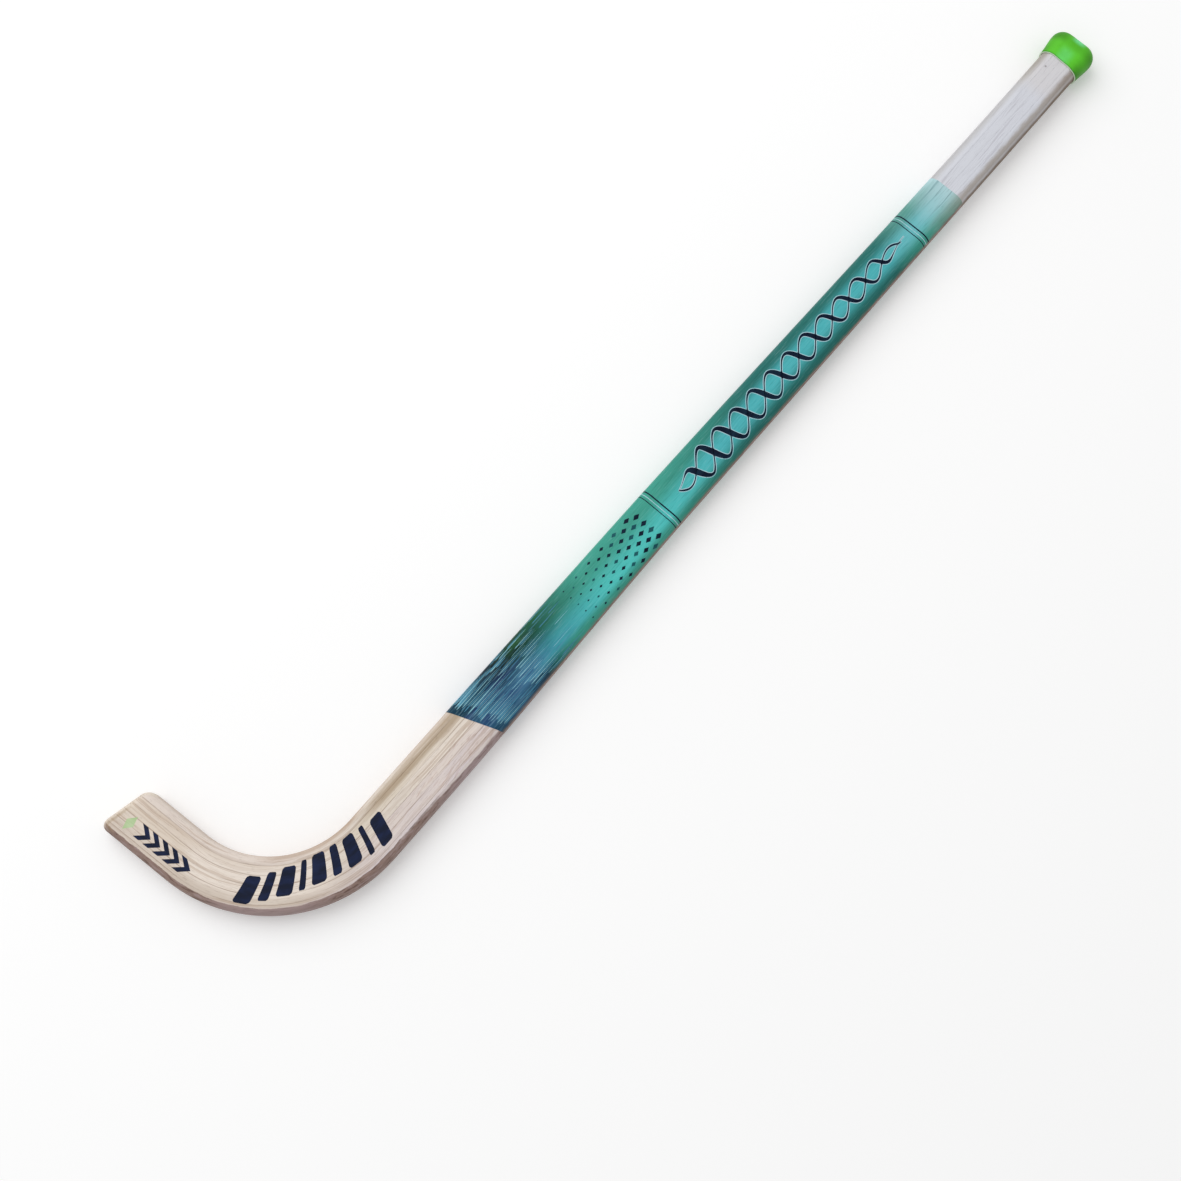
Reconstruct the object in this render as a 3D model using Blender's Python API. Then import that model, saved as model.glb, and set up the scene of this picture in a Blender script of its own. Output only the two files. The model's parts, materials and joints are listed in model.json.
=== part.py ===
"""Roller hockey stick: bent laminated wood, a printed film round the shaft and a push-on end cap.

Metres, +Z up. The stick lies on its back face with its shaft along +X and its blade towards +Y.
It is drawn along one centre line: s runs along it, from 0 where the bend begins, positive up
the shaft and negative round the bend to the toe, and v runs across it, positive on the hook's
inner side. The last step tips the stick by the small angle at which it lies on blade and cap.
"""

import math

import bmesh
import bpy
from mathutils import Vector

# Lamination: equal plies bent together, so the blade's width is their sum
PLY_COUNT = 6
PLY_THICKNESS = 0.0073
GLUE_GAP = 0.0003

# Wood: one thickness all along, a round bend, and a shaft planed narrower on both edges
STICK_THICKNESS = 0.020
SHAFT_LENGTH = 0.860
BEND_INNER_RADIUS = 0.0795
BEND_ANGLE = math.radians(87)
BLADE_LENGTH = 0.0608
BLADE_EDGE_RADIUS = 0.006
SHAFT_EDGE_RADIUS = 0.009
LEAST_SIDE_FLAT = 0.0005
NECK_START = 0.030
NECK_LENGTH = 0.200

# The outer edge is relieved on the lower shaft and the inner edge on the upper shaft
OUTER_RELIEF = 0.0046
OUTER_RELIEF_START = 0.065
OUTER_RELIEF_LENGTH = 0.300
INNER_RELIEF = 0.0054
INNER_RELIEF_START = 0.265
INNER_RELIEF_LENGTH = 0.520

# Toe: cut askew, with its corners rounded in plan
TOE_SKEW = math.radians(15.5)
TOE_OUTER_CORNER = 0.008
TOE_INNER_CORNER = 0.007

# Printed film: wrapped round the shaft, with an open seam along the outer edge
FILM_GAP = 0.0003
FILM_THICKNESS = 0.0003
FILM_START = 0.116
FILM_START_SLANT = 0.017
FILM_END = 0.690
FILM_SEAM_WIDTH = 0.009

# End cap: a rubber cup pushed over the butt
CAP_CLEARANCE = 0.0003
CAP_DEPTH = 0.0235
CAP_END_WALL = 0.0052
CAP_RIM_WALL = 0.0011
CAP_SIDE_WALL = 0.0028
CAP_LIP_RADIUS = 0.0004
CAP_CROWN_RADIUS = 0.0100
CAP_LEAST_CORNER = 0.0010

# Fineness of the faceted surfaces
SAMPLES_PER_HALF_PLY = 3
EDGE_STEPS = 5
TOE_OUTLINE_STEPS = 96
BEND_STEPS = 20
BLADE_STEPS = 2
BLADE_SQUARE_SHARE = 0.3
SHAFT_STEPS = 22
FILM_STEPS = 16
CAP_CORNER_STEPS = 7
CAP_CROWN_STEPS = 7
CAP_SWELL_STEPS = 5
LEAST_PLY_WIDTH = 0.0010
SEARCH_STEPS = 40
SMOOTH_BELOW = math.radians(32)

BLADE_WIDTH = PLY_COUNT * PLY_THICKNESS
HALF_WIDTH = BLADE_WIDTH / 2
HALF_THICKNESS = STICK_THICKNESS / 2
BEND_RADIUS = BEND_INNER_RADIUS + HALF_WIDTH
BEND_LENGTH = BEND_RADIUS * BEND_ANGLE

PALE_ASH = (0.80, 0.70, 0.58)
WARM_ASH = (0.76, 0.64, 0.51)
BROWN_ASH = (0.66, 0.53, 0.41)
PLY_COLOURS = (WARM_ASH, PALE_ASH, WARM_ASH, PALE_ASH, BROWN_ASH, PALE_ASH)
FILM_TEAL = (0.27, 0.66, 0.62)
CAP_GREEN = (0.30, 0.74, 0.18)
WOOD_ROUGHNESS = 0.55
FILM_ROUGHNESS = 0.30
CAP_ROUGHNESS = 0.45


def linear(channel):
    """An sRGB channel as the linear value that a shader takes."""
    if channel <= 0.04045:
        return channel / 12.92
    return ((channel + 0.055) / 1.055) ** 2.4


def material(name, colour, roughness):
    made = bpy.data.materials.new(name)
    made.use_nodes = True
    shader = made.node_tree.nodes["Principled BSDF"]
    shader.inputs["Base Color"].default_value = (*map(linear, colour), 1.0)
    shader.inputs["Roughness"].default_value = roughness
    return made


def clear_scene():
    for obj in list(bpy.data.objects):
        bpy.data.objects.remove(obj)


def ease(s, start, length):
    """0 before start, 1 past start + length, and smooth between."""
    t = min(max((s - start) / length, 0.0), 1.0)
    return t * t * (3.0 - 2.0 * t)


def place(s, v):
    """The plan point at s along the centre line and v across it."""
    if s >= 0.0:
        return Vector((s, v))
    angle = min(-s / BEND_RADIUS, BEND_ANGLE)
    past_bend = max(-s - BEND_LENGTH, 0.0)
    radius = BEND_RADIUS - v
    x = -radius * math.sin(angle) - past_bend * math.cos(angle)
    y = BEND_RADIUS - radius * math.cos(angle) + past_bend * math.sin(angle)
    return Vector((x, y))


def outer_edge(s):
    return -HALF_WIDTH + OUTER_RELIEF * ease(s, OUTER_RELIEF_START, OUTER_RELIEF_LENGTH)


def inner_edge(s):
    return HALF_WIDTH - INNER_RELIEF * ease(s, INNER_RELIEF_START, INNER_RELIEF_LENGTH)


def edge_radius(s):
    """The long edges' rounding, which grows from the blade to the shaft."""
    growth = SHAFT_EDGE_RADIUS - BLADE_EDGE_RADIUS
    wanted = BLADE_EDGE_RADIUS + growth * ease(s, NECK_START, NECK_LENGTH)
    return min(wanted, HALF_THICKNESS - LEAST_SIDE_FLAT)


def corner_drop(inset, radius):
    """How far a rounded corner falls short of the end, at an inset from the side."""
    reach = min(max(radius - inset, 0.0), radius)
    return radius - math.sqrt(radius * radius - reach * reach)


def toe_distance(v):
    """How far the toe's end lies past the bend, at v across the blade."""
    square = BLADE_LENGTH - v * math.tan(TOE_SKEW)
    outer = corner_drop(v + HALF_WIDTH, TOE_OUTER_CORNER)
    inner = corner_drop(HALF_WIDTH - v, TOE_INNER_CORNER)
    return square - outer - inner


def toe_outline():
    """Plan points of the toe's end, as (past the bend, across), from the outer edge to the inner."""
    points = []
    for step in range(TOE_OUTLINE_STEPS + 1):
        v = -HALF_WIDTH * math.cos(math.pi * step / TOE_OUTLINE_STEPS)
        points.append(Vector((toe_distance(v), v)))
    return points


def toe_inset(v, from_toe, outline):
    """How far inside the toe's outline a point lies that is so far back from it along the blade."""
    point = Vector((toe_distance(v) - from_toe, v))
    nearest = math.inf
    for first, second in zip(outline, outline[1:]):
        along = second - first
        share = min(max((point - first).dot(along) / along.length_squared, 0.0), 1.0)
        nearest = min(nearest, (point - first - along * share).length)
    return nearest


def half_height(s, v, from_end=math.inf):
    """Half of the wood's thickness at a point, less what the rounded edges take."""
    radius = edge_radius(s)
    inset = min(v - outer_edge(s), inner_edge(s) - v, from_end)
    fall = min(max(1.0 - inset / radius, 0.0), 1.0)
    return HALF_THICKNESS - radius + radius * math.sqrt(1.0 - fall * fall)


def ply_span(index, s):
    """The lowest and highest v of a ply: its glue faces, or the wood's edge where that cuts it."""
    low = -HALF_WIDTH + index * PLY_THICKNESS
    high = low + PLY_THICKNESS
    low = low + GLUE_GAP / 2 if index > 0 else low
    high = high - GLUE_GAP / 2 if index < PLY_COUNT - 1 else high
    return max(low, outer_edge(s)), min(high, inner_edge(s))


def ply_samples(index, s):
    """Values of v across a ply, closer together towards its sides."""
    low, high = ply_span(index, s)
    middle = (low + high) / 2
    reach = (high - low) / 2
    count = SAMPLES_PER_HALF_PLY
    return [
        middle + reach * math.sin(math.pi / 2 * step / count)
        for step in range(-count, count + 1)
    ]


def toe_section(index, from_toe, outline):
    """A section that follows the toe's cut, at a distance back from it along the blade."""
    tops = []
    for v in ply_samples(index, -BEND_LENGTH - BLADE_LENGTH):
        s = -BEND_LENGTH - toe_distance(v) + from_toe
        tops.append((*place(s, v), half_height(s, v, toe_inset(v, from_toe, outline))))
    return tops


def square_section(index, s):
    return [(*place(s, v), half_height(s, v)) for v in ply_samples(index, s)]


def shaft_limit(index):
    """How far up the shaft a ply runs: to the butt, unless the planed edge cuts it away first."""
    def width(s):
        low, high = ply_span(index, s)
        return high - low

    if width(SHAFT_LENGTH) >= LEAST_PLY_WIDTH:
        return SHAFT_LENGTH
    start, stop = 0.0, SHAFT_LENGTH
    for _ in range(SEARCH_STEPS):
        middle = (start + stop) / 2
        start, stop = (middle, stop) if width(middle) >= LEAST_PLY_WIDTH else (start, middle)
    return start


def ply_sections(index):
    """Sections from the toe, round the bend and up the shaft."""
    outline = toe_outline()
    reach = BLADE_EDGE_RADIUS / math.cos(TOE_SKEW)
    rounding = [
        reach * (1.0 - math.cos(math.pi / 2 * step / EDGE_STEPS))
        for step in range(EDGE_STEPS + 1)
    ]
    sections = [toe_section(index, distance, outline) for distance in rounding]
    square_length = BLADE_SQUARE_SHARE * BLADE_LENGTH
    for step in range(BLADE_STEPS, -1, -1):
        past_bend = square_length * step / BLADE_STEPS
        sections.append(square_section(index, -BEND_LENGTH - past_bend))
    for step in range(BEND_STEPS - 1, 0, -1):
        sections.append(square_section(index, -BEND_LENGTH * step / BEND_STEPS))
    limit = shaft_limit(index)
    for step in range(SHAFT_STEPS + 1):
        sections.append(square_section(index, limit * step / SHAFT_STEPS))
    return sections


def solid(name, rings, shade, closed_ends):
    """A lofted object: rings of equal counts, joined in order and closed by closed_ends."""
    mesh = bpy.data.meshes.new(name)
    shape = bmesh.new()
    loops = [[shape.verts.new(point) for point in ring] for ring in rings]
    count = len(loops[0])
    for first, second in zip(loops, loops[1:]):
        for i in range(count):
            j = (i + 1) % count
            shape.faces.new((first[i], first[j], second[j], second[i]))
    closed_ends(shape, loops[0])
    closed_ends(shape, loops[-1])
    bmesh.ops.recalc_face_normals(shape, faces=shape.faces)
    shape.to_mesh(mesh)
    shape.free()
    mesh.shade_smooth()
    mesh.set_sharp_from_angle(angle=SMOOTH_BELOW)
    mesh.materials.append(shade)
    obj = bpy.data.objects.new(name, mesh)
    bpy.context.scene.collection.objects.link(obj)
    return obj


def ladder_end(shape, ring):
    """Closes a ring whose first half runs beside its second half, rung by rung."""
    half = len(ring) // 2
    for i in range(half - 1):
        shape.faces.new((ring[i], ring[i + 1], ring[-2 - i], ring[-1 - i]))


def flat_end(shape, ring):
    shape.faces.new(ring)


def ply_name(index):
    if index == 0:
        return "outer_ply"
    if index == PLY_COUNT - 1:
        return "inner_ply"
    return f"core_ply_{index}"


def build_ply(index):
    rings = []
    for section in ply_sections(index):
        bottom = [(x, y, -z) for x, y, z in reversed(section)]
        rings.append(section + bottom)
    name = ply_name(index)
    shade = material(name, PLY_COLOURS[index % len(PLY_COLOURS)], WOOD_ROUGHNESS)
    return solid(name, rings, shade, ladder_end)


def film_profile(s, offset):
    """The film's path in the plane across the shaft, as (v, z), from seam to seam."""
    radius = edge_radius(s)
    flat_half = HALF_THICKNESS - radius
    round_out = radius + offset
    seam_angle = math.asin(max(FILM_SEAM_WIDTH / 2 - flat_half, 0.0) / round_out)
    low = outer_edge(s) + radius
    high = inner_edge(s) - radius

    def arc(centre_v, centre_z, start, stop):
        for step in range(EDGE_STEPS + 1):
            angle = start + (stop - start) * step / EDGE_STEPS
            yield (
                centre_v + round_out * math.cos(angle),
                centre_z + round_out * math.sin(angle),
            )

    quarter = math.pi / 2
    points = list(arc(low, -flat_half, 2 * quarter + seam_angle, 3 * quarter))
    points += arc(high, -flat_half, -quarter, 0.0)
    points += arc(high, flat_half, 0.0, quarter)
    points += arc(low, flat_half, quarter, 2 * quarter - seam_angle)
    return points


def film_side(middle, slope, offset):
    """The film's path at one offset from the wood, with each point's s slanted by its v."""
    side = []
    for index, (v, _) in enumerate(film_profile(middle, offset)):
        s = middle - slope * v
        fitted_v, z = film_profile(s, offset)[index]
        side.append((*place(s, fitted_v), z))
    return side


def film_ring(fraction):
    """One section of the film, a fraction of the way from its slanted end to its square end."""
    middle = FILM_START + (FILM_END - FILM_START) * fraction
    slope = FILM_START_SLANT / BLADE_WIDTH * (1.0 - fraction)
    outside = film_side(middle, slope, FILM_GAP + FILM_THICKNESS)
    inside = film_side(middle, slope, FILM_GAP)
    return outside + inside[::-1]


def build_film():
    rings = [film_ring(step / FILM_STEPS) for step in range(FILM_STEPS + 1)]
    shade = material("print_film", FILM_TEAL, FILM_ROUGHNESS)
    return solid("print_film", rings, shade, ladder_end)


def handle_axis():
    """The v of the middle of the butt, which is the line that the cap slides along."""
    return (outer_edge(SHAFT_LENGTH) + inner_edge(SHAFT_LENGTH)) / 2


def butt_loop(x, offset):
    """A closed loop at x from the butt, offset from the wood's section there, about the cap's axis."""
    s = SHAFT_LENGTH + min(x, 0.0)
    low = outer_edge(s) - handle_axis() - offset
    high = inner_edge(s) - handle_axis() + offset
    half_z = HALF_THICKNESS + offset
    corner = max(edge_radius(s) + offset, CAP_LEAST_CORNER)
    centres = (
        (high - corner, half_z - corner),
        (low + corner, half_z - corner),
        (low + corner, corner - half_z),
        (high - corner, corner - half_z),
    )
    loop = []
    for turn, (centre_v, centre_z) in enumerate(centres):
        for step in range(CAP_CORNER_STEPS + 1):
            angle = math.pi / 2 * (turn + step / CAP_CORNER_STEPS)
            v = centre_v + corner * math.cos(angle)
            z = centre_z + corner * math.sin(angle)
            loop.append((x, v, z))
    return loop


def cap_outside():
    """(x, offset) pairs from the middle of the cap's end to its rim, x from the wood's butt."""
    end = CAP_CLEARANCE + CAP_END_WALL
    widest = CAP_CLEARANCE + CAP_SIDE_WALL
    rim = CAP_CLEARANCE + CAP_RIM_WALL
    rim_x = CAP_CLEARANCE - CAP_DEPTH
    profile = []
    for step in range(CAP_CROWN_STEPS + 1):
        angle = math.pi / 2 * step / CAP_CROWN_STEPS
        x = end - CAP_CROWN_RADIUS * (1.0 - math.cos(angle))
        profile.append((x, widest - CAP_CROWN_RADIUS * (1.0 - math.sin(angle))))
    crown_x = profile[-1][0]
    lip_x = rim_x + CAP_LIP_RADIUS
    for step in range(1, CAP_SWELL_STEPS + 1):
        t = step / CAP_SWELL_STEPS
        x = crown_x + (lip_x - crown_x) * t
        profile.append((x, widest + (rim - widest) * ease(t, 0.0, 1.0)))
    profile.append((rim_x, rim - CAP_LIP_RADIUS))
    return profile


def build_cap():
    inside = [
        (CAP_CLEARANCE - CAP_DEPTH, CAP_CLEARANCE),
        (CAP_CLEARANCE, CAP_CLEARANCE),
    ]
    rings = [butt_loop(x, offset) for x, offset in cap_outside() + inside]
    cap = solid("end_cap", rings, material("end_cap", CAP_GREEN, CAP_ROUGHNESS), flat_end)
    axis = bpy.data.objects.new("cap_axis", None)
    bpy.context.scene.collection.objects.link(axis)
    axis.location = (SHAFT_LENGTH, handle_axis(), 0.0)
    cap.parent = axis
    return cap, axis


def resting_tilt():
    """The angle at which the back lies on the floor, on the blade's face and the cap's widest ring."""
    flat_v = BLADE_EDGE_RADIUS - HALF_WIDTH
    bend = [-BEND_LENGTH * step / BEND_STEPS for step in range(BEND_STEPS + 1)]
    toe = -BEND_LENGTH - toe_distance(flat_v) + BLADE_EDGE_RADIUS
    blade_x = min(place(s, flat_v).x for s in (*bend, toe))
    cap_x = SHAFT_LENGTH + CAP_CLEARANCE + CAP_END_WALL - CAP_CROWN_RADIUS
    return math.atan2(CAP_CLEARANCE + CAP_SIDE_WALL, cap_x - blade_x)


def lay_on_floor(frame, pieces):
    """Tips the stick onto its back and puts the origin under the middle of its box."""
    frame.rotation_euler = (0.0, -resting_tilt(), 0.0)
    bpy.context.view_layer.update()
    corners = [obj.matrix_world @ vertex.co for obj in pieces for vertex in obj.data.vertices]
    low = [min(corner[axis] for corner in corners) for axis in range(3)]
    high = [max(corner[axis] for corner in corners) for axis in range(3)]
    frame.location = (-(low[0] + high[0]) / 2, -(low[1] + high[1]) / 2, -low[2])


def main():
    clear_scene()
    frame = bpy.data.objects.new("stick_frame", None)
    bpy.context.scene.collection.objects.link(frame)
    wood = [build_ply(index) for index in range(PLY_COUNT)]
    film = build_film()
    cap, cap_axis = build_cap()
    for obj in (*wood, film, cap_axis):
        obj.parent = frame
    lay_on_floor(frame, [*wood, film, cap])


main()
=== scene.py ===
"""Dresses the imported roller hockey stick: fine plies, printed film, generic print, rubber cap, studio.

Metres, +Z up. Positions on the stick are given as s along its centre line (0 where the bend
begins, positive up the shaft, negative round the bend to the toe), v across it (positive on the
hook's inner side) and z through its thickness. Materials read the same three, in millimetres.
"""

import json
import math
import random

import bmesh
import bpy
from mathutils import Matrix, Vector


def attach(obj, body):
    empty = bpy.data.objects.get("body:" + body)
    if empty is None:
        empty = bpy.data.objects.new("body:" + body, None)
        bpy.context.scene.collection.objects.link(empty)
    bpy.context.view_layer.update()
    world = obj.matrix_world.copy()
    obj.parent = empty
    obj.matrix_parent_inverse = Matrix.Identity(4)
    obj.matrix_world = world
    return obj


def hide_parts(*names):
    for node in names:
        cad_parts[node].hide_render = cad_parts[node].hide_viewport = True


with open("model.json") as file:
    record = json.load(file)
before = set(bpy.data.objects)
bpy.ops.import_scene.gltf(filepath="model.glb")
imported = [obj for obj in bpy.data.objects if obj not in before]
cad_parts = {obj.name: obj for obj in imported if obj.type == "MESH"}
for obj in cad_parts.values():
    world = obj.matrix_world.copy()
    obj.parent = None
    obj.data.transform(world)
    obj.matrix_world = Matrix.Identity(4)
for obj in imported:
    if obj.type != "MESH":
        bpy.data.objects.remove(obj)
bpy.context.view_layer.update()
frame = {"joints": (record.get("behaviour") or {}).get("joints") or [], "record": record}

# The stick's own sizes, as in the CAD source
PLY_COUNT = 6
PLY_THICKNESS = 0.0073
HALF_WIDTH = PLY_COUNT * PLY_THICKNESS / 2
HALF_THICKNESS = 0.010
SHAFT_LENGTH = 0.860
BEND_RADIUS = 0.0795 + HALF_WIDTH
BEND_ANGLE = math.radians(87)
BEND_LENGTH = BEND_RADIUS * BEND_ANGLE
BLADE_LENGTH = 0.0608
BLADE_EDGE_RADIUS = 0.006
SHAFT_EDGE_RADIUS = 0.009
NECK_START = 0.030
NECK_LENGTH = 0.200
OUTER_RELIEF = 0.0046
OUTER_RELIEF_START = 0.065
OUTER_RELIEF_LENGTH = 0.300
INNER_RELIEF = 0.0054
INNER_RELIEF_START = 0.265
INNER_RELIEF_LENGTH = 0.520
TOE_SKEW = math.radians(15.5)
TOE_OUTER_CORNER = 0.008
TOE_INNER_CORNER = 0.007
FILM_START = 0.116
FILM_START_SLANT = 0.017
FILM_END = 0.690
FILM_SEAM_WIDTH = 0.009
CAP_CLEARANCE = 0.0003
CAP_DEPTH = 0.0235
CAP_END_WALL = 0.0052
CAP_RIM_WALL = 0.0011
CAP_SIDE_WALL = 0.0028
CAP_CROWN_RADIUS = 0.0100
CAP_LEAST_CORNER = 0.0005
CAP_TRIM = 0.000002

# Fine layers on the surface
GLUE_LINE = 0.00004
FILM_INSIDE = 0.00004
FILM_OUTSIDE = 0.00016
PRINT_SUNK = 0.00004
PRINT_LAYER = 0.00003
INK_BASE = -0.00002
TOE_TRIM = 0.00002

# Fineness of the meshes
PLY_SAMPLES = 8
TOE_STEPS = 14
TOE_OUTLINE_STEPS = 200
BLADE_STEPS = 8
BEND_STEPS = 58
SHAFT_STEPS = 120
FILM_STEPS = 120
CORNER_STEPS = 12
PRINT_STEP = 0.001
SMOOTH_BELOW = math.radians(32)

MM = 1000.0


def ease(s, start, length):
    """0 before start, 1 past start + length, and smooth between."""
    t = min(max((s - start) / length, 0.0), 1.0)
    return t * t * (3.0 - 2.0 * t)


def place(s, v):
    """The plan point at s along the centre line and v across it."""
    if s >= 0.0:
        return s, v
    angle = min(-s / BEND_RADIUS, BEND_ANGLE)
    past_bend = max(-s - BEND_LENGTH, 0.0)
    radius = BEND_RADIUS - v
    x = -radius * math.sin(angle) - past_bend * math.cos(angle)
    y = BEND_RADIUS - radius * math.cos(angle) + past_bend * math.sin(angle)
    return x, y


def outer_edge(s):
    return -HALF_WIDTH + OUTER_RELIEF * ease(s, OUTER_RELIEF_START, OUTER_RELIEF_LENGTH)


def inner_edge(s):
    return HALF_WIDTH - INNER_RELIEF * ease(s, INNER_RELIEF_START, INNER_RELIEF_LENGTH)


def edge_radius(s):
    growth = SHAFT_EDGE_RADIUS - BLADE_EDGE_RADIUS
    return BLADE_EDGE_RADIUS + growth * ease(s, NECK_START, NECK_LENGTH)


def corner_drop(inset, radius):
    """How far a rounded corner falls short of the end, at an inset from the side."""
    reach = min(max(radius - inset, 0.0), radius)
    return radius - math.sqrt(radius * radius - reach * reach)


def toe_distance(v):
    """How far the toe's end lies past the bend, at v across the blade."""
    square = BLADE_LENGTH - v * math.tan(TOE_SKEW)
    outer = corner_drop(v + HALF_WIDTH, TOE_OUTER_CORNER)
    inner = corner_drop(HALF_WIDTH - v, TOE_INNER_CORNER)
    return square - outer - inner - TOE_TRIM


def toe_outline():
    """Plan points of the toe's end, as (past the bend, across), from the outer edge to the inner."""
    points = []
    for step in range(TOE_OUTLINE_STEPS + 1):
        v = -HALF_WIDTH * math.cos(math.pi * step / TOE_OUTLINE_STEPS)
        points.append(Vector((toe_distance(v), v)))
    return points


TOE_OUTLINE = toe_outline()


def toe_inset(v, from_toe):
    """How far inside the toe's outline a point lies that is so far back from it along the blade."""
    point = Vector((toe_distance(v) - from_toe, v))
    nearest = math.inf
    for first, second in zip(TOE_OUTLINE, TOE_OUTLINE[1:]):
        along = second - first
        share = min(max((point - first).dot(along) / along.length_squared, 0.0), 1.0)
        nearest = min(nearest, (point - first - along * share).length)
    return nearest


# Where the stick lies

def stick_matrix():
    """From the stick's own frame to the row frame, found from the joint's axis and the mounts."""
    joint = frame["joints"][0]
    along = Vector(joint["axis"]).normalized()
    across = Vector((0.0, 1.0, 0.0))
    up = along.cross(across)
    mounts = [Vector(mount["pos_m"]) for mount in frame["record"]["mounts"]]
    middle = sum(mounts, Vector()) / len(mounts)
    x, y = place(-BEND_LENGTH / 2, -PLY_THICKNESS / 2)
    origin = middle - along * x - across * y
    matrix = Matrix((along, across, up)).transposed().to_4x4()
    return Matrix.Translation(origin) @ matrix


STICK = stick_matrix()


# Mesh building

def spot(s, v, z, sides=(0.0, 0.0, 0.0)):
    """A vertex: its point in the row frame, its place on the stick in mm, and its edge shares."""
    x, y = place(s, v)
    return STICK @ Vector((x, y, z)), (s * MM, v * MM, z * MM), sides


def ladder(shape, ring):
    """Closes a ring whose first half runs beside its second half, rung by rung."""
    for i in range(len(ring) // 2 - 1):
        shape.faces.new((ring[i], ring[i + 1], ring[-2 - i], ring[-1 - i]))


def flat(shape, ring):
    shape.faces.new(ring)


def piece(name, lofts, shade, body, stands_for=None, close=ladder):
    """One object from lofts, which are lists of equal rings of spots, each closed at both ends."""
    shape = bmesh.new()
    spots = []
    for rings in lofts:
        loops = []
        for ring in rings:
            loops.append([shape.verts.new(point) for point, _, _ in ring])
            spots += ring
        count = len(loops[0])
        for first, second in zip(loops, loops[1:]):
            for i in range(count):
                j = (i + 1) % count
                shape.faces.new((first[i], first[j], second[j], second[i]))
        close(shape, loops[0])
        close(shape, loops[-1])
    bmesh.ops.recalc_face_normals(shape, faces=shape.faces)
    mesh = bpy.data.meshes.new(name)
    shape.to_mesh(mesh)
    shape.free()
    for label, part in (("stick_place", 1), ("edge_share", 2)):
        numbers = [number for entry in spots for number in entry[part]]
        mesh.attributes.new(label, "FLOAT_VECTOR", "POINT").data.foreach_set("vector", numbers)
    mesh.shade_smooth()
    mesh.set_sharp_from_angle(angle=SMOOTH_BELOW)
    mesh.materials.append(shade)
    obj = bpy.data.objects.new(name, mesh)
    bpy.context.scene.collection.objects.link(obj)
    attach(obj, body)
    if stands_for:
        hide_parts(stands_for)
    return obj


# Node materials

def colour(red, green, blue):
    """An sRGB colour of 0 to 255 as the linear colour that a shader takes."""
    channels = []
    for channel in (red / 255, green / 255, blue / 255):
        low = channel / 12.92
        high = ((channel + 0.055) / 1.055) ** 2.4
        channels.append(low if channel <= 0.04045 else high)
    return (*channels, 1.0)


class Value:
    """A number in a node tree. Arithmetic on it adds the nodes that work the result out."""

    def __init__(self, tree, socket):
        self.tree = tree
        self.socket = socket

    def math(self, operation, *others, swap=False):
        node = self.tree.nodes.new("ShaderNodeMath")
        node.operation = operation
        terms = [self, *others]
        if swap:
            terms.reverse()
        for slot, term in zip(node.inputs, terms):
            feed(self.tree, slot, term)
        return Value(self.tree, node.outputs[0])

    def __add__(self, other):
        return self.math("ADD", other)

    def __sub__(self, other):
        return self.math("SUBTRACT", other)

    def __rsub__(self, other):
        return self.math("SUBTRACT", other, swap=True)

    def __mul__(self, other):
        return self.math("MULTIPLY", other)

    def __truediv__(self, other):
        return self.math("DIVIDE", other)

    __radd__ = __add__

    def least(self, other):
        return self.math("MINIMUM", other)

    def most(self, other):
        return self.math("MAXIMUM", other)

    def rise(self, start, stop):
        """0 up to start, 1 from stop on, smooth between. It falls where stop is the lower."""
        low, high = min(start, stop), max(start, stop)
        node = self.tree.nodes.new("ShaderNodeMapRange")
        node.interpolation_type = "SMOOTHSTEP"
        feed(self.tree, node.inputs["Value"], self)
        node.inputs["From Min"].default_value = low
        node.inputs["From Max"].default_value = high
        node.inputs["To Min"].default_value = 0.0 if start < stop else 1.0
        node.inputs["To Max"].default_value = 1.0 if start < stop else 0.0
        return Value(self.tree, node.outputs[0])


def feed(tree, socket, value):
    if isinstance(value, Value):
        tree.links.new(value.socket, socket)
    else:
        socket.default_value = value


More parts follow.
